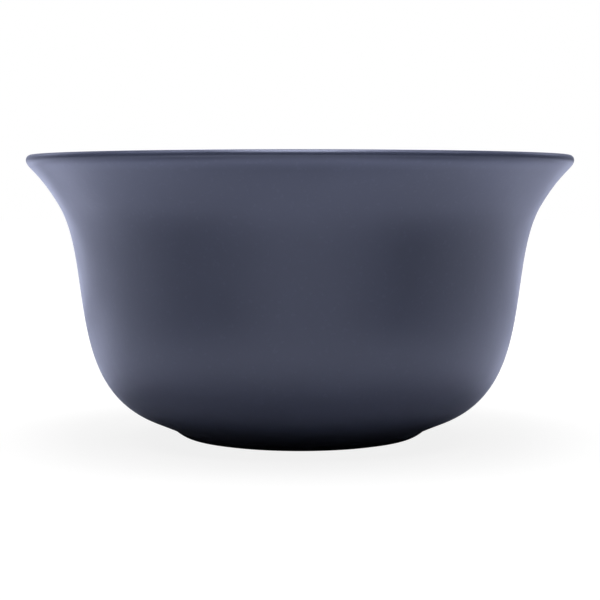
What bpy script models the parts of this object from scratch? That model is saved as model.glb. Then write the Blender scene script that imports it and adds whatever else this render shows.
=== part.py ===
"""Shaving bowl: one turned stoneware bowl with a flared lip, and a grip ring pressed into a groove in its foot.

Metres, +Z up. The origin is the centre of the plane that the bowl stands on, and +Z is the turning axis.
Both pieces are turned from a section drawn in the XZ plane, with X as the radius.
"""

import math

import bmesh
import bpy
from mathutils import Vector
from mathutils.geometry import interpolate_bezier

MM = 0.001

# Driving dimensions. Heights of the bowl are above the underside of its foot.
RIM_RADIUS = 60.0 * MM
BOWL_HEIGHT = 62.1 * MM
RING_STAND = 0.3 * MM  # how far the grip ring holds the foot off the surface below
LIP_RADIUS = 1.1 * MM  # outer edge of the lip

# Headings of a section, in degrees below horizontal
LEVEL = 0.0
PLUMB = 90.0

# Stations down the outside: radius, height, degrees below horizontal
FLARE = (53.0 * MM, 51.2 * MM, 59.7)
HEEL = (33.6 * MM, 4.15 * MM, 23.0)
FOOT_SIDE = (28.0 * MM, 1.7 * MM, 42.0)
FOOT_EDGE = (24.8 * MM, 0.0, LEVEL)

# How far the curve between two stations runs on along its heading at each end
FLARE_REACH = (1.8 * MM, 8.9 * MM)
BELLY_REACH = (14.6 * MM, 20.1 * MM)
FOOT_COVE_REACH = (0.7 * MM, 0.4 * MM)
FOOT_ROUND_REACH = (2.3 * MM, 0.1 * MM)

# Wall and floor
RIM_WALL = 2.7 * MM
HEEL_WALL = 4.2 * MM
INNER_LIP_REACH = (0.9 * MM, 0.9 * MM)
FLOOR_HEIGHT = 5.7 * MM
FLOOR_REACH = (4.5 * MM, 16.0 * MM)

# Underside of the foot
GROOVE_OUTER_RADIUS = 24.0 * MM
GROOVE_INNER_RADIUS = 20.6 * MM
GROOVE_DEPTH = 1.5 * MM
GROOVE_ROUND = 0.25 * MM
RECESS_RADIUS = 18.8 * MM
RECESS_DEPTH = 2.2 * MM
RECESS_ROUND = 1.0 * MM

# Grip ring
FIT_GAP = 0.3 * MM
RING_ROUND = 0.4 * MM

# Mesh resolution
SEGMENTS = 72
LIP_STEPS = 4
FLARE_STEPS = 8
BELLY_STEPS = 12
COVE_STEPS = 2
FOOT_STEPS = 3
CORNER_STEPS = 2
FLOOR_STEPS = 6
WELD_DISTANCE = 0.001 * MM
SHARP_ANGLE = math.radians(50.0)
CIRCLE_HANDLE = 0.5523  # handle length, as a share of the radius, that makes a Bezier quarter round

# Finishes: colour, roughness
MATTE_GLAZE = ((0.046, 0.049, 0.062, 1.0), 0.32)
GRIP_SILICONE = ((0.014, 0.014, 0.016, 1.0), 0.7)


def clear_scene():
    for old in list(bpy.data.objects):
        bpy.data.objects.remove(old, do_unlink=True)


def section_point(radius, height):
    """A point of a section, which is drawn with X as the radius."""
    return Vector((radius, 0.0, height))


def station_point(station):
    radius, height, _ = station
    return section_point(radius, height)


def heading(fall):
    """The direction of a surface that runs down and inwards, this many degrees below horizontal."""
    angle = math.radians(fall)
    return Vector((-math.cos(angle), 0.0, -math.sin(angle)))


def sweep(start, start_fall, end, end_fall, reach, steps):
    """A smooth curve between two points of the section, without its first point."""
    start_handle = start + heading(start_fall) * reach[0]
    end_handle = end - heading(end_fall) * reach[1]
    return interpolate_bezier(start, start_handle, end_handle, end, steps + 1)[1:]


def eased_corner(before, corner, after, radius):
    """The quarter round that replaces a corner of the section."""
    entry = corner + (before - corner).normalized() * radius
    leave = corner + (after - corner).normalized() * radius
    entry_handle = entry.lerp(corner, CIRCLE_HANDLE)
    leave_handle = leave.lerp(corner, CIRCLE_HANDLE)
    return interpolate_bezier(entry, entry_handle, leave_handle, leave, CORNER_STEPS + 1)


def lip_arc():
    """The outer quarter of the lip, from its top to its side."""
    centre = section_point(RIM_RADIUS - LIP_RADIUS, BOWL_HEIGHT - LIP_RADIUS)
    points = []
    for step in range(LIP_STEPS + 1):
        angle = 0.5 * math.pi * (1.0 - step / LIP_STEPS)
        points.append(centre + Vector((math.cos(angle), 0.0, math.sin(angle))) * LIP_RADIUS)
    return points


def outer_wall(lip_end):
    """The outside, from the side of the lip down to the heel."""
    flare = station_point(FLARE)
    heel = station_point(HEEL)
    upper = sweep(lip_end, PLUMB, flare, FLARE[2], FLARE_REACH, FLARE_STEPS)
    lower = sweep(flare, FLARE[2], heel, HEEL[2], BELLY_REACH, BELLY_STEPS)
    return [lip_end] + upper + lower


def outward(points, index):
    """The outward normal of a section that runs down the outside, at one of its points."""
    ahead = points[min(index + 1, len(points) - 1)]
    behind = points[max(index - 1, 0)]
    run = (ahead - behind).normalized()
    return Vector((-run.z, 0.0, run.x))


def wall_thickness(height):
    """The wall's thickness, growing smoothly from the rim to the heel."""
    share = (BOWL_HEIGHT - height) / (BOWL_HEIGHT - HEEL[1])
    eased = share * share * (3.0 - 2.0 * share)
    return RIM_WALL + (HEEL_WALL - RIM_WALL) * eased


def inner_wall(outside):
    """The inside, from the heel up to where the outside leans out the most, and that lean in degrees."""
    normals = [outward(outside, index) for index in range(len(outside))]
    turn = min(range(FLARE_STEPS), key=lambda index: normals[index].z)
    offset = []
    for point, normal in zip(outside[turn:], normals[turn:]):
        offset.append(point - normal * wall_thickness(point.z))
    lean = math.degrees(math.acos(-normals[turn].z))
    return offset[::-1], lean


def inner_lip(lip_top, wall_top, lean):
    """The softer inner side of the lip, from above the inside wall to just short of the top."""
    inwards = sweep(lip_top, LEVEL, wall_top, lean, INNER_LIP_REACH, LIP_STEPS)
    return inwards[-2::-1]


def inner_floor(inner_heel):
    """The dished floor, from the axis out to the heel, without its last point."""
    centre = section_point(0.0, FLOOR_HEIGHT)
    inwards = sweep(inner_heel, HEEL[2], centre, LEVEL, FLOOR_REACH, FLOOR_STEPS)
    return inwards[::-1]


def foot_outside():
    """The outside of the foot, from below the heel to its standing edge."""
    heel = station_point(HEEL)
    side = station_point(FOOT_SIDE)
    edge = station_point(FOOT_EDGE)
    cove = sweep(heel, HEEL[2], side, FOOT_SIDE[2], FOOT_COVE_REACH, COVE_STEPS)
    turn = sweep(side, FOOT_SIDE[2], edge, FOOT_EDGE[2], FOOT_ROUND_REACH, FOOT_STEPS)
    return cove + turn


def foot_underside():
    """The groove for the grip ring and the recess inside it, from the foot's edge in to the axis."""
    edge = station_point(FOOT_EDGE)
    corners = [
        section_point(GROOVE_OUTER_RADIUS, 0.0),
        section_point(GROOVE_OUTER_RADIUS, GROOVE_DEPTH),
        section_point(GROOVE_INNER_RADIUS, GROOVE_DEPTH),
        section_point(GROOVE_INNER_RADIUS, 0.0),
        section_point(RECESS_RADIUS, 0.0),
        section_point(RECESS_RADIUS, RECESS_DEPTH),
    ]
    rounds = [GROOVE_ROUND] * (len(corners) - 1) + [RECESS_ROUND]
    centre = section_point(0.0, RECESS_DEPTH)
    path = [edge] + corners + [centre]
    points = []
    for index, radius in enumerate(rounds, start=1):
        points += eased_corner(path[index - 1], path[index], path[index + 1], radius)
    return points + [centre]


def bowl_section():
    """The whole section of the bowl, from the floor's centre over the lip to the underside's centre."""
    lip = lip_arc()
    outside = outer_wall(lip[-1])
    inside, lean = inner_wall(outside)
    section = inner_floor(inside[0]) + inside + inner_lip(lip[0], inside[-1], lean)
    section += lip + outside[1:] + foot_outside() + foot_underside()
    return [point + section_point(0.0, RING_STAND) for point in section]


def ring_section():
    """The closed section of the grip ring, which fills its groove but for a fitting gap and stands proud."""
    outer = GROOVE_OUTER_RADIUS - FIT_GAP
    inner = GROOVE_INNER_RADIUS + FIT_GAP
    top = RING_STAND + GROOVE_DEPTH - FIT_GAP
    corners = [
        section_point(outer, top),
        section_point(outer, 0.0),
        section_point(inner, 0.0),
        section_point(inner, top),
    ]
    points = []
    for index, corner in enumerate(corners):
        after = corners[(index + 1) % len(corners)]
        points += eased_corner(corners[index - 1], corner, after, RING_ROUND)
    return points


def finish_material(name, finish):
    colour, roughness = finish
    material = bpy.data.materials.new(name)
    material.use_nodes = True
    shader = material.node_tree.nodes["Principled BSDF"]
    shader.inputs["Base Color"].default_value = colour
    shader.inputs["Roughness"].default_value = roughness
    shader.inputs["Metallic"].default_value = 0.0
    return material


def turned_piece(name, section, closed, material):
    """One object, turned about +Z from its section. A closed section makes a ring."""
    shape = bmesh.new()
    vertices = [shape.verts.new(point) for point in section]
    edges = [shape.edges.new(pair) for pair in zip(vertices, vertices[1:])]
    if closed:
        edges.append(shape.edges.new((vertices[-1], vertices[0])))
    bmesh.ops.spin(
        shape,
        geom=vertices + edges,
        cent=(0.0, 0.0, 0.0),
        axis=(0.0, 0.0, 1.0),
        angle=math.tau,
        steps=SEGMENTS,
        use_duplicate=False,
    )
    bmesh.ops.remove_doubles(shape, verts=shape.verts, dist=WELD_DISTANCE)
    bmesh.ops.recalc_face_normals(shape, faces=shape.faces)
    mesh = bpy.data.meshes.new(name)
    shape.to_mesh(mesh)
    shape.free()
    mesh.shade_smooth()
    mesh.set_sharp_from_angle(angle=SHARP_ANGLE)
    mesh.materials.append(material)
    piece = bpy.data.objects.new(name, mesh)
    bpy.context.scene.collection.objects.link(piece)
    return piece


def build():
    clear_scene()
    root = bpy.data.objects.new("shaving_bowl", None)
    bpy.context.scene.collection.objects.link(root)
    glaze = finish_material("matte_glaze", MATTE_GLAZE)
    silicone = finish_material("grip_silicone", GRIP_SILICONE)
    bowl = turned_piece("bowl", bowl_section(), False, glaze)
    ring = turned_piece("foot_ring", ring_section(), True, silicone)
    bowl.parent = root
    ring.parent = root


build()
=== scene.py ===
"""Looks of the shaving bowl: a matte glazed stoneware bowl with a flared lip, on a soft grip ring.

Metres, +Z up, in the CAD model's own frame. Sections are drawn in the XZ plane, with X as the radius.
"""

import math

import bmesh
import bpy
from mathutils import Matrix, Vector
from mathutils.geometry import interpolate_bezier


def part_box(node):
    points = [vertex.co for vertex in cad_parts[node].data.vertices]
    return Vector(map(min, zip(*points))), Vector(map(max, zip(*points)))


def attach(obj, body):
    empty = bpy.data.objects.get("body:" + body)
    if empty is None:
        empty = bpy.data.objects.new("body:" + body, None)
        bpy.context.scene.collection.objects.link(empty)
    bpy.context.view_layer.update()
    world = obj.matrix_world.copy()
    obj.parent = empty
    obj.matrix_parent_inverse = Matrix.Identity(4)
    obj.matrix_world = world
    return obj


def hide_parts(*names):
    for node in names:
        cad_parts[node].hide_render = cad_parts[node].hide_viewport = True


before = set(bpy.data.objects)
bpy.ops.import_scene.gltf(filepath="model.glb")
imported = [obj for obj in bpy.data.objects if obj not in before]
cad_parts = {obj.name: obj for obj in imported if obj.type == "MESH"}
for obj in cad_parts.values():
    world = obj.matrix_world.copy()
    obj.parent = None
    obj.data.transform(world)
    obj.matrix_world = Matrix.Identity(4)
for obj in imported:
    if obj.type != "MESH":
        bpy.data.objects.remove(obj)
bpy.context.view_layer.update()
BOWL_LOW, BOWL_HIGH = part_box("bowl")
RING_LOW, RING_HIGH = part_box("foot_ring")

MM = 0.001

# The bowl's section. Heights are above the underside of its foot, as in the CAD model.
RIM_RADIUS = BOWL_HIGH.x
RING_STAND = BOWL_LOW.z
BOWL_HEIGHT = BOWL_HIGH.z - RING_STAND
LIP_RADIUS = 1.1 * MM  # outer edge of the lip

# Headings of a section, in degrees below horizontal
LEVEL = 0.0
PLUMB = 90.0

# Stations down the outside: radius, height, degrees below horizontal
FLARE = (53.0 * MM, 51.2 * MM, 59.7)
HEEL = (33.6 * MM, 4.15 * MM, 23.0)
FOOT_SIDE = (28.0 * MM, 1.7 * MM, 42.0)
FOOT_EDGE = (24.8 * MM, 0.0, LEVEL)

# How far the curve between two stations runs on along its heading at each end
FLARE_REACH = (1.8 * MM, 8.9 * MM)
BELLY_REACH = (14.6 * MM, 20.1 * MM)
FOOT_COVE_REACH = (0.7 * MM, 0.4 * MM)
FOOT_ROUND_REACH = (2.3 * MM, 0.1 * MM)

# Wall and floor
RIM_WALL = 2.7 * MM
HEEL_WALL = 4.2 * MM
INNER_LIP_REACH = (0.9 * MM, 0.9 * MM)
FLOOR_HEIGHT = 5.7 * MM
FLOOR_REACH = (4.5 * MM, 16.0 * MM)

# The underside of the foot
FIT_GAP = 0.3 * MM
GROOVE_OUTER_RADIUS = RING_HIGH.x + FIT_GAP
GROOVE_INNER_RADIUS = 20.6 * MM
GROOVE_DEPTH = RING_HIGH.z + FIT_GAP - RING_STAND
GROOVE_ROUND = 0.25 * MM
RECESS_RADIUS = 18.8 * MM
RECESS_DEPTH = 2.2 * MM
RECESS_ROUND = 1.0 * MM

# The grip ring's section
RING_ROUND = 0.4 * MM
RIB_COUNT = 3
RIB_GROOVE_DEPTH = 0.15 * MM
RIB_STEPS = 8  # from one rib to the next

# Mesh resolution
SEGMENTS = 288
LIP_STEPS = 14
FLARE_STEPS = 26
BELLY_STEPS = 52
COVE_STEPS = 6
FOOT_STEPS = 8
CORNER_STEPS = 5
FLOOR_STEPS = 16
WELD_DISTANCE = 0.001 * MM
SHARP_ANGLE = math.radians(50.0)
CIRCLE_HANDLE = 0.5523  # handle length, as a share of the radius, that makes a Bezier quarter round

# The camera: a little under the level of the rim, tilted slightly down
CAMERA_DISTANCE = 380.0 * MM
CAMERA_HEIGHT = 54.3 * MM
CAMERA_FALL = 3.6  # degrees below horizontal
CAMERA_LENS = 102.56  # with the sensor's width, in the camera's own millimetres
SENSOR_WIDTH = 36.0
CAMERA_CLIP = (0.01, 10.0)

# In what follows, a noise is given by its cells per metre and its detail. A value that changes smoothly is
# given by the two places, directions or noise levels between which it changes, and by what it is at each.
# Colours are linear.

# The glaze: faint clouds, sparse pale specks, and painted shade and painted light that change with height
# above the table
CLOUD_NOISE = (38.0, 3.0)
CLOUD_SPAN = (0.35, 0.65, 0.0, 1.0)
CLOUD_COLOURS = ((0.0428, 0.0462, 0.0583, 1.0), (0.0472, 0.0510, 0.0645, 1.0))
SPECK_NOISE = (1100.0, 3.0)
SPECK_SPAN = (0.58, 0.70, 0.0, 0.22)
SPECK_COLOUR = (0.070, 0.076, 0.095, 1.0)
# Painted shade: the belly darkened towards the foot, standing in for the shade under the bowl
PAINTED_BELLY_SHADE = (1.5 * MM, 8.5 * MM, 0.62, 1.0)  # dark low on the belly
# Painted light: the flare made paler towards the lip, standing in for the lit table that it reflects
PAINTED_FLARE_LIGHT = (40.0 * MM, 58.0 * MM, 1.0, 1.22)  # paler towards the lip
# Painted light: a paler band right under the lip, but not on it, standing in for the table's reflection
# there
PAINTED_UNDER_LIP_LIGHT_START = (58.3 * MM, 60.0 * MM, 0.0, 1.0)  # paler still right under it
PAINTED_UNDER_LIP_LIGHT_END = (60.5 * MM, 61.2 * MM, 0.32, 0.06)  # but not on it

# Where the glaze ends, in a line that wanders up and down, and the bare foot shows: rougher, and near-black
# as painted shade at the foot
WANDER_NOISE = (60.0, 2.0)
WANDER_SPAN = (0.2, 0.8, -0.4 * MM, 0.4 * MM)
BARE_AND_SHADED_SPAN = (2.1 * MM, 1.1 * MM, 0.0, 1.0)
# Painted shade: the bare foot's near-black colour stands in for the shade under the bowl
BARE_FOOT_PAINTED_SHADE = (0.011, 0.011, 0.013, 1.0)
BARE_ROUGHNESS = 0.8

# The glaze's small changes of gloss, and its eggshell relief over a broader ripple
GLOSS_NOISE = (70.0, 4.0)
GLOSS_SPAN = (0.3, 0.7, 0.29, 0.34)
EGGSHELL_NOISE = (1400.0, 2.0)
EGGSHELL_SHARE = 0.35
RIPPLE_NOISE = (180.0, 2.0)
GLAZE_RELIEF = 0.06
GLAZE_RELIEF_DEPTH = 0.2 * MM
GLAZE_IOR = 1.5

# The grip ring: near-black silicone, a little dusty, with a fine grain
DUST_NOISE = (500.0, 4.0)
DUST_SPAN = (0.4, 0.75, 0.0, 1.0)
SILICONE_COLOURS = ((0.010, 0.010, 0.012, 1.0), (0.020, 0.020, 0.023, 1.0))
SHEEN_NOISE = (260.0, 3.0)
SHEEN_SPAN = (0.3, 0.7, 0.58, 0.72)
GRAIN_NOISE = (2600.0, 2.0)
GRAIN_RELIEF = 0.25
GRAIN_DEPTH = 0.1 * MM
SILICONE_IOR = 1.41

# The tint of all light on the bowl, and what the camera sees round it
LIGHT_TINT = (0.94, 1.0, 1.35)
WHITE = (1.0, 1.0, 1.0, 1.0)

# The floor as the camera sees it: how much light it returns, and its own white, by distance from the axis.
# The two make a light shadow, which ends where its own white is full.
FLOOR_RADIUS = 3.0
FLOOR_SEGMENTS = 96
SHADOW_SHARE = 0.18
OWN_WHITE = (0.12, 0.30, 0.86, 1.0)

# The table's light on the bowl, by distance from the axis, by turn and by side. The turn is 1 straight
# behind the bowl and -1 straight before it, and the side is 1 to the right of the bowl and -1 to its left.
AXIS = (0.0, 0.0, 0.0)
TABLE_SHADE = 0.79
FAR_START = (0.19, 0.42, 0.0, 1.0)  # by distance
FAR_LEAN = (-0.8, 0.8, 1.2, 0.7)  # by side
BEHIND_GLOW = (0.3, 1.0, 0.75, 0.85)  # by turn
BEFORE_GLOW = (-0.4, -1.0, 0.0, 0.60)  # by turn
NEAR_START = (0.045, 0.072, 0.0, 1.0)  # by distance
NEAR_END = (0.085, 0.140, 1.0, 0.0)  # by distance
NEAR_GLOW = (0.6, 0.0, 0.0, 0.27)  # by turn

# Round patches of the table: centre, radius, strength. The core is the share of the radius with no fall.
PATCH_CORE = 0.15
DIM_PATCHES = (((-0.11, -0.12, 0.0), 0.10, 0.55), ((0.12, -0.12, 0.0), 0.10, 0.55))
GLOW_PATCHES = (((-0.15, 0.05, 0.0), 0.10, 0.55), ((0.15, 0.05, 0.0), 0.09, 0.20))

# The room's light, by the direction that it comes from, whose parts run from -1 to 1
ROOM_GLOW = 0.15
BACKDROP = (0.2, 0.95, 0.0, 0.45)  # by Y, added to the room's glow
ROOM_FRONT = (0.1, -0.7, 0.0, -0.09)  # by Y, added to the room's glow
ROOM_TOP = (0.15, 0.6, 1.0, 0.05)  # by Z, a share of them all
ROOM_LEAN = (-0.6, 0.6, 1.08, 0.50)  # by X, a share of them all

# Softboxes: name, place, side, power in watts. Each is square and aimed at the foot of the bowl.
SOFTBOXES = (
    ("overhead_front", (0.0, -0.25, 0.60), 0.30, 1.04),
    ("overhead", (0.0, 0.0, 0.60), 0.30, 1.46),
    ("overhead_left", (-0.30, 0.0, 0.60), 0.30, 0.59),
    ("overhead_right", (0.30, 0.0, 0.60), 0.30, 0.59),
    ("overhead_high", (0.0, 0.0, 1.30), 0.60, 3.5),
    ("back_left", (-0.30, 0.30, 0.30), 0.20, 0.10),
    ("back_right", (0.30, 0.30, 0.30), 0.20, 0.10),
    ("back", (0.0, 0.30, 0.30), 0.20, 0.26),
)
SOFTBOX_AIM = Vector((0.0, 0.0, 0.02))


def section_point(radius, height):
    """A point of a section, which is drawn with X as the radius."""
    return Vector((radius, 0.0, height))


def station_point(station):
    radius, height, _ = station
    return section_point(radius, height)


def heading(fall):
    """The direction of a surface that runs down and inwards, this many degrees below horizontal."""
    angle = math.radians(fall)
    return Vector((-math.cos(angle), 0.0, -math.sin(angle)))


def sweep(start, start_fall, end, end_fall, reach, steps):
    """A smooth curve between two points of the section, without its first point."""
    start_handle = start + heading(start_fall) * reach[0]
    end_handle = end - heading(end_fall) * reach[1]
    return interpolate_bezier(start, start_handle, end_handle, end, steps + 1)[1:]


def eased_corner(before, corner, after, radius):
    """The quarter round that replaces a corner of the section."""
    entry = corner + (before - corner).normalized() * radius
    leave = corner + (after - corner).normalized() * radius
    entry_handle = entry.lerp(corner, CIRCLE_HANDLE)
    leave_handle = leave.lerp(corner, CIRCLE_HANDLE)
    return interpolate_bezier(entry, entry_handle, leave_handle, leave, CORNER_STEPS + 1)


def lip_arc():
    """The outer quarter of the lip, from its top to its side."""
    centre = section_point(RIM_RADIUS - LIP_RADIUS, BOWL_HEIGHT - LIP_RADIUS)
    points = []
    for step in range(LIP_STEPS + 1):
        angle = 0.5 * math.pi * (1.0 - step / LIP_STEPS)
        points.append(centre + Vector((math.cos(angle), 0.0, math.sin(angle))) * LIP_RADIUS)
    return points


def outer_wall(lip_end):
    """The outside, from the side of the lip down to the heel."""
    flare = station_point(FLARE)
    heel = station_point(HEEL)
    upper = sweep(lip_end, PLUMB, flare, FLARE[2], FLARE_REACH, FLARE_STEPS)
    lower = sweep(flare, FLARE[2], heel, HEEL[2], BELLY_REACH, BELLY_STEPS)
    return [lip_end] + upper + lower


def outward(points, index):
    """The outward normal of a section that runs down the outside, at one of its points."""
    ahead = points[min(index + 1, len(points) - 1)]
    behind = points[max(index - 1, 0)]
    run = (ahead - behind).normalized()
    return Vector((-run.z, 0.0, run.x))


def wall_thickness(height):
    """The wall's thickness, growing smoothly from the rim to the heel."""
    share = (BOWL_HEIGHT - height) / (BOWL_HEIGHT - HEEL[1])
    eased = share * share * (3.0 - 2.0 * share)
    return RIM_WALL + (HEEL_WALL - RIM_WALL) * eased


def inner_wall(outside):
    """The inside, from the heel up to where the outside leans out the most, and that lean in degrees."""
    normals = [outward(outside, index) for index in range(len(outside))]
    turn = min(range(FLARE_STEPS), key=lambda index: normals[index].z)
    offset = []
    for point, normal in zip(outside[turn:], normals[turn:]):
        offset.append(point - normal * wall_thickness(point.z))
    lean = math.degrees(math.acos(-normals[turn].z))
    return offset[::-1], lean


def inner_lip(lip_top, wall_top, lean):
    """The softer inner side of the lip, from above the inside wall to just short of the top."""
    inwards = sweep(lip_top, LEVEL, wall_top, lean, INNER_LIP_REACH, LIP_STEPS)
    return inwards[-2::-1]


def inner_floor(inner_heel):
    """The dished floor, from the axis out to the heel, without its last point."""
    centre = section_point(0.0, FLOOR_HEIGHT)
    inwards = sweep(inner_heel, HEEL[2], centre, LEVEL, FLOOR_REACH, FLOOR_STEPS)
    return inwards[::-1]


def foot_outside():
    """The outside of the foot, from below the heel to its standing edge."""
    heel = station_point(HEEL)
    side = station_point(FOOT_SIDE)
    edge = station_point(FOOT_EDGE)
    cove = sweep(heel, HEEL[2], side, FOOT_SIDE[2], FOOT_COVE_REACH, COVE_STEPS)
    turn = sweep(side, FOOT_SIDE[2], edge, FOOT_EDGE[2], FOOT_ROUND_REACH, FOOT_STEPS)
    return cove + turn


def foot_underside():
    """The groove for the grip ring and the recess inside it, from the foot's edge in to the axis."""
    corners = [
        section_point(GROOVE_OUTER_RADIUS, 0.0),
        section_point(GROOVE_OUTER_RADIUS, GROOVE_DEPTH),
        section_point(GROOVE_INNER_RADIUS, GROOVE_DEPTH),
        section_point(GROOVE_INNER_RADIUS, 0.0),
        section_point(RECESS_RADIUS, 0.0),
        section_point(RECESS_RADIUS, RECESS_DEPTH),
    ]
    rounds = [GROOVE_ROUND] * (len(corners) - 1) + [RECESS_ROUND]
    centre = section_point(0.0, RECESS_DEPTH)
    path = [station_point(FOOT_EDGE)] + corners + [centre]
    points = []
    for index, radius in enumerate(rounds, start=1):
        points += eased_corner(path[index - 1], path[index], path[index + 1], radius)
    return points + [centre]


def bowl_section():
    """The whole section of the bowl, from the floor's centre over the lip to the underside's centre."""
    lip = lip_arc()
    outside = outer_wall(lip[-1])
    inside, lean = inner_wall(outside)
    section = inner_floor(inside[0]) + inside + inner_lip(lip[0], inside[-1], lean)
    section += lip + outside[1:] + foot_outside() + foot_underside()
    return [point + section_point(0.0, RING_STAND) for point in section]


def rib_grooves(start, end):
    """The wavy underside of the ring between two radii, from its outer to its inner rib."""
    grooves = RIB_COUNT - 1
    steps = RIB_STEPS * grooves
    points = []
    for step in range(1, steps):
        share = step / steps
        wave = 0.5 - 0.5 * math.cos(math.tau * share * grooves)
        points.append(section_point(start + (end - start) * share, RIB_GROOVE_DEPTH * wave))
    return points


def ring_section():
    """The closed section of the grip ring, with shallow grooves between the ribs of its underside."""
    outer = RING_HIGH.x
    inner = GROOVE_INNER_RADIUS + FIT_GAP
    outer_foot = section_point(outer, RING_LOW.z)
    corners = [
        section_point(outer, RING_HIGH.z),
        outer_foot,
        section_point(inner, RING_LOW.z),
        section_point(inner, RING_HIGH.z),
    ]
    points = []
    for index, corner in enumerate(corners):
        after = corners[(index + 1) % len(corners)]
        points += eased_corner(corners[index - 1], corner, after, RING_ROUND)
        if corner is outer_foot:
            points += rib_grooves(outer - RING_ROUND, inner + RING_ROUND)
    return points


def turned_ring(shape, point, turns):
    """The vertices that one point of the section sweeps out: a circle, or a single one on the axis."""
    if point.x < WELD_DISTANCE:
        return [shape.verts.new((0.0, 0.0, point.z))] * len(turns)
    return [shape.verts.new((point.x * cosine, point.x * sine, point.z)) for cosine, sine in turns]


def turned_piece(name, section, closed):
    """One object, turned about +Z from its section. A closed section makes a ring."""
    angles = [math.tau * step / SEGMENTS for step in range(SEGMENTS)]
    turns = [(math.cos(angle), math.sin(angle)) for angle in angles]
    shape = bmesh.new()
    rings = [turned_ring(shape, point, turns) for point in section]
    if closed:
        rings.append(rings[0])
    for upper, lower in zip(rings, rings[1:]):
        for here in range(SEGMENTS):
            ahead = (here + 1) % SEGMENTS
            corners = (upper[here], lower[here], lower[ahead], upper[ahead])
            shape.faces.new(dict.fromkeys(corners))  # two corners on the axis are one and the same
    bmesh.ops.recalc_face_normals(shape, faces=shape.faces)
    mesh = bpy.data.meshes.new(name)
    shape.to_mesh(mesh)
    shape.free()
    mesh.shade_smooth()
    mesh.set_sharp_from_angle(angle=SHARP_ANGLE)
    piece = bpy.data.objects.new(name, mesh)
    bpy.context.scene.collection.objects.link(piece)
    return piece


# Materials


class Nodes:
    """A short hand for building one node tree."""

    def __init__(self, owner):
        owner.use_nodes = True
        self.tree = owner.node_tree
        self.tree.nodes.clear()

    def add(self, kind, inputs=None, **settings):
        node = self.tree.nodes.new(kind)
        for name, value in settings.items():
            setattr(node, name, value)
        for name, value in (inputs or {}).items():
            self.put(node, name, value)
        return node

    def put(self, node, name, value):
        """Sets a socket to a constant, or links it to another node's output."""
        socket = node.inputs[name]
        if isinstance(value, bpy.types.NodeSocket):
            self.tree.links.new(value, socket)
        else:
            socket.default_value = value

    def place(self):
        return self.add("ShaderNodeTexCoord").outputs["Object"]

    def parts(self, vector):
        """The X, Y and Z of a vector, by name."""
        return self.add("ShaderNodeSeparateXYZ", {"Vector": vector}).outputs

    def noise(self, scale, detail):
        inputs = {"Scale": scale, "Detail": detail, "Vector": self.place()}
        return self.add("ShaderNodeTexNoise", inputs).outputs["Fac"]

    def math(self, operation, first, second):
        return self.add("ShaderNodeMath", {0: first, 1: second}, operation=operation).outputs["Value"]

    def plus(self, first, second):
        return self.math("ADD", first, second)

    def times(self, first, *others):
        for other in others:
            first = self.math("MULTIPLY", first, other)
        return first

    def vector(self, operation, first, second):
        return self.add("ShaderNodeVectorMath", {0: first, 1: second}, operation=operation).outputs

    def distance(self, place, centre):
        return self.vector("DISTANCE", place, centre)["Value"]

    def span(self, value, low, high, out_low, out_high):
        """value carried smoothly from the range low..high to out_low..out_high."""
        inputs = {"Value": value, "From Min": low, "From Max": high, "To Min": out_low, "To Max": out_high}
        return self.add("ShaderNodeMapRange", inputs, interpolation_type="SMOOTHSTEP").outputs["Result"]

    def mix(self, share, first, second):
        """A number between two numbers, which are the Mix node's inputs 2 and 3."""
        return self.add("ShaderNodeMix", {0: share, 2: first, 3: second}, data_type="FLOAT").outputs[0]

    def mix_colour(self, share, first, second):
        """A colour between two colours, which are the Mix node's inputs 6 and 7."""
        return self.add("ShaderNodeMix", {0: share, 6: first, 7: second}, data_type="RGBA").outputs[2]

    def surface(self, colour, roughness, relief, strength, depth, ior):
        """A Principled surface with a little relief, as the tree's output."""
        bump = self.add("ShaderNodeBump", {"Strength": strength, "Distance": depth, "Height": relief})
        inputs = {"Base Color": colour, "Roughness": roughness, "Normal": bump.outputs["Normal"], "IOR": ior}
        shader = self.add("ShaderNodeBsdfPrincipled", inputs)
        self.add("ShaderNodeOutputMaterial", {"Surface": shader.outputs["BSDF"]})

    def by_eye(self, lit, seen):
        """A shader that the camera sees in one way, and that lights the bowl in another."""
        eye = self.add("ShaderNodeLightPath").outputs["Is Camera Ray"]
        return self.add("ShaderNodeMixShader", {0: eye, 1: lit, 2: seen}).outputs[0]


def painted_light_by_height(nodes, height):
    """Painted shade low on the belly, and painted light on the flare and right under the lip, by height."""
    painted_under_lip_light = nodes.times(nodes.span(height, *PAINTED_UNDER_LIP_LIGHT_START), nodes.span(height, *PAINTED_UNDER_LIP_LIGHT_END))
    painted_belly_shade_flare_light = nodes.times(nodes.span(height, *PAINTED_BELLY_SHADE), nodes.span(height, *PAINTED_FLARE_LIGHT))
    return nodes.times(painted_belly_shade_flare_light, nodes.plus(painted_under_lip_light, 1.0))


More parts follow.
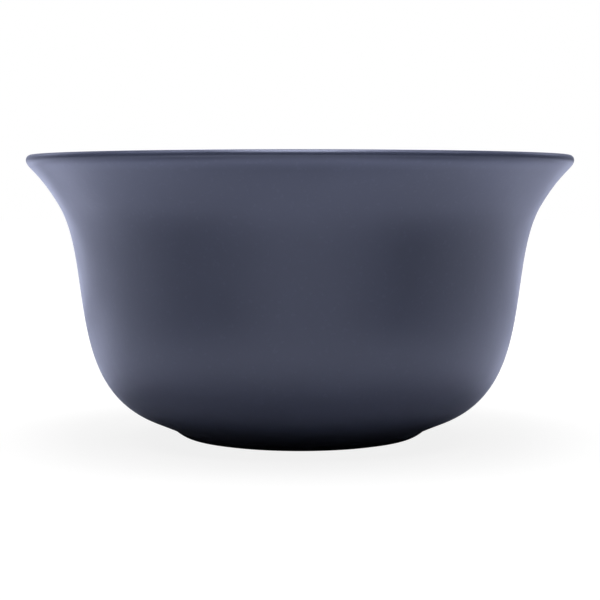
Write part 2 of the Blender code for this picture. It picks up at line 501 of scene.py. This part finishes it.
def glaze_material():
    material = bpy.data.materials.new("stoneware_glaze")
    nodes = Nodes(material)
    height = nodes.parts(nodes.place())["Z"]
    cloud = nodes.span(nodes.noise(*CLOUD_NOISE), *CLOUD_SPAN)
    speck = nodes.span(nodes.noise(*SPECK_NOISE), *SPECK_SPAN)
    glaze = nodes.mix_colour(cloud, *CLOUD_COLOURS)
    glaze = nodes.mix_colour(speck, glaze, SPECK_COLOUR)
    # Painted shade and painted light by height, multiplied into the glaze colour
    glaze = nodes.vector("MULTIPLY", glaze, painted_light_by_height(nodes, height))["Vector"]
    wander = nodes.span(nodes.noise(*WANDER_NOISE), *WANDER_SPAN)
    # The bare foot band: rougher than the glaze, with its near-black colour painted shade
    bare_and_shaded_foot = nodes.span(nodes.plus(height, wander), *BARE_AND_SHADED_SPAN)
    colour = nodes.mix_colour(bare_and_shaded_foot, glaze, BARE_FOOT_PAINTED_SHADE)
    gloss = nodes.span(nodes.noise(*GLOSS_NOISE), *GLOSS_SPAN)
    roughness = nodes.mix(bare_and_shaded_foot, gloss, BARE_ROUGHNESS)
    eggshell = nodes.times(nodes.noise(*EGGSHELL_NOISE), EGGSHELL_SHARE)
    relief = nodes.plus(eggshell, nodes.noise(*RIPPLE_NOISE))
    nodes.surface(colour, roughness, relief, GLAZE_RELIEF, GLAZE_RELIEF_DEPTH, GLAZE_IOR)
    return material


def silicone_material():
    material = bpy.data.materials.new("ribbed_silicone")
    nodes = Nodes(material)
    dust = nodes.span(nodes.noise(*DUST_NOISE), *DUST_SPAN)
    colour = nodes.mix_colour(dust, *SILICONE_COLOURS)
    roughness = nodes.span(nodes.noise(*SHEEN_NOISE), *SHEEN_SPAN)
    nodes.surface(colour, roughness, nodes.noise(*GRAIN_NOISE), GRAIN_RELIEF, GRAIN_DEPTH, SILICONE_IOR)
    return material


# Stage


def patches(nodes, place, group):
    """What a group of round patches adds up to, each falling smoothly to nothing at its edge."""
    total = 0.0
    for centre, radius, strength in group:
        away = nodes.distance(place, centre)
        total = nodes.plus(total, nodes.span(away, PATCH_CORE * radius, radius, strength, 0.0))
    return total


def table_light(nodes):
    """The table as the bowl reflects it: lit near the bowl and far from it, with dim and bright patches."""
    place = nodes.place()
    parts = nodes.parts(place)
    away = nodes.distance(place, AXIS)
    turn = nodes.math("DIVIDE", parts["Y"], away)
    side = nodes.math("DIVIDE", parts["X"], away)
    shade = nodes.math("SUBTRACT", TABLE_SHADE, patches(nodes, place, DIM_PATCHES))
    board = nodes.add("ShaderNodeBsdfDiffuse", {"Color": shade})
    ends = nodes.plus(nodes.span(turn, *BEHIND_GLOW), nodes.span(turn, *BEFORE_GLOW))
    far = nodes.times(ends, nodes.span(away, *FAR_START), nodes.span(side, *FAR_LEAN))
    near = nodes.times(nodes.span(away, *NEAR_START), nodes.span(away, *NEAR_END))
    near = nodes.times(near, nodes.span(turn, *NEAR_GLOW))
    glow = nodes.plus(nodes.plus(far, near), patches(nodes, place, GLOW_PATCHES))
    lamp = nodes.add("ShaderNodeEmission", {"Color": (*LIGHT_TINT, 1.0), "Strength": glow})
    return nodes.add("ShaderNodeAddShader", {0: board.outputs[0], 1: lamp.outputs[0]}).outputs[0]


def floor_material():
    """A pale matte table. The camera sees it whitened, with a light shadow."""
    material = bpy.data.materials.new("pale_floor")
    nodes = Nodes(material)
    neutral = [SHADOW_SHARE / tint for tint in LIGHT_TINT]
    shaded = nodes.add("ShaderNodeBsdfDiffuse", {"Color": (*neutral, 1.0)})
    away = nodes.distance(nodes.place(), AXIS)
    white = nodes.add("ShaderNodeEmission", {"Strength": nodes.span(away, *OWN_WHITE)})
    seen = nodes.add("ShaderNodeAddShader", {0: shaded.outputs[0], 1: white.outputs[0]})
    both = nodes.by_eye(table_light(nodes), seen.outputs[0])
    nodes.add("ShaderNodeOutputMaterial", {"Surface": both})
    return material


def make_floor():
    shape = bmesh.new()
    bmesh.ops.create_circle(shape, cap_ends=True, segments=FLOOR_SEGMENTS, radius=FLOOR_RADIUS)
    mesh = bpy.data.meshes.new("floor")
    shape.to_mesh(mesh)
    shape.free()
    mesh.materials.append(floor_material())
    floor = bpy.data.objects.new("floor", mesh)
    bpy.context.scene.collection.objects.link(floor)


def make_surroundings():
    """A dim room with a pale backdrop behind the table. The camera sees white all round."""
    world = bpy.data.worlds.new("soft_room")
    bpy.context.scene.world = world
    nodes = Nodes(world)
    parts = nodes.parts(nodes.add("ShaderNodeTexCoord").outputs["Generated"])
    ends = nodes.plus(nodes.span(parts["Y"], *BACKDROP), nodes.span(parts["Y"], *ROOM_FRONT))
    glow = nodes.plus(ends, ROOM_GLOW)
    glow = nodes.times(glow, nodes.span(parts["Z"], *ROOM_TOP), nodes.span(parts["X"], *ROOM_LEAN))
    lit = nodes.add("ShaderNodeBackground", {"Color": (*LIGHT_TINT, 1.0), "Strength": glow})
    seen = nodes.add("ShaderNodeBackground", {"Color": WHITE, "Strength": 1.0})
    both = nodes.by_eye(lit.outputs[0], seen.outputs[0])
    nodes.add("ShaderNodeOutputWorld", {"Surface": both})


def make_softbox(name, place, side, power):
    light = bpy.data.lights.new(name, "AREA")
    light.shape = "SQUARE"
    light.size = side
    light.energy = power
    light.color = LIGHT_TINT
    box = bpy.data.objects.new(name, light)
    bpy.context.scene.collection.objects.link(box)
    box.location = place
    box.rotation_euler = (SOFTBOX_AIM - Vector(place)).to_track_quat("-Z", "Y").to_euler()
    box.visible_camera = False


def make_camera():
    data = bpy.data.cameras.new("camera")
    data.sensor_width = SENSOR_WIDTH
    data.lens = CAMERA_LENS
    data.clip_start, data.clip_end = CAMERA_CLIP
    camera = bpy.data.objects.new("camera", data)
    bpy.context.scene.collection.objects.link(camera)
    camera.location = (0.0, -CAMERA_DISTANCE, CAMERA_HEIGHT)
    camera.rotation_euler = (math.radians(90.0 - CAMERA_FALL), 0.0, 0.0)
    bpy.context.scene.camera = camera


def make_bowl():
    bowl = turned_piece("bowl_glazed", bowl_section(), False)
    bowl.data.materials.append(glaze_material())
    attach(bowl, "root")
    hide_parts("bowl")


def make_ring():
    ring = turned_piece("grip_ring", ring_section(), True)
    ring.data.materials.append(silicone_material())
    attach(ring, "root")
    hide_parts("foot_ring")


make_bowl()
make_ring()
make_floor()
make_surroundings()
for softbox in SOFTBOXES:
    make_softbox(*softbox)
make_camera()
bpy.context.scene.view_settings.view_transform = "Standard"
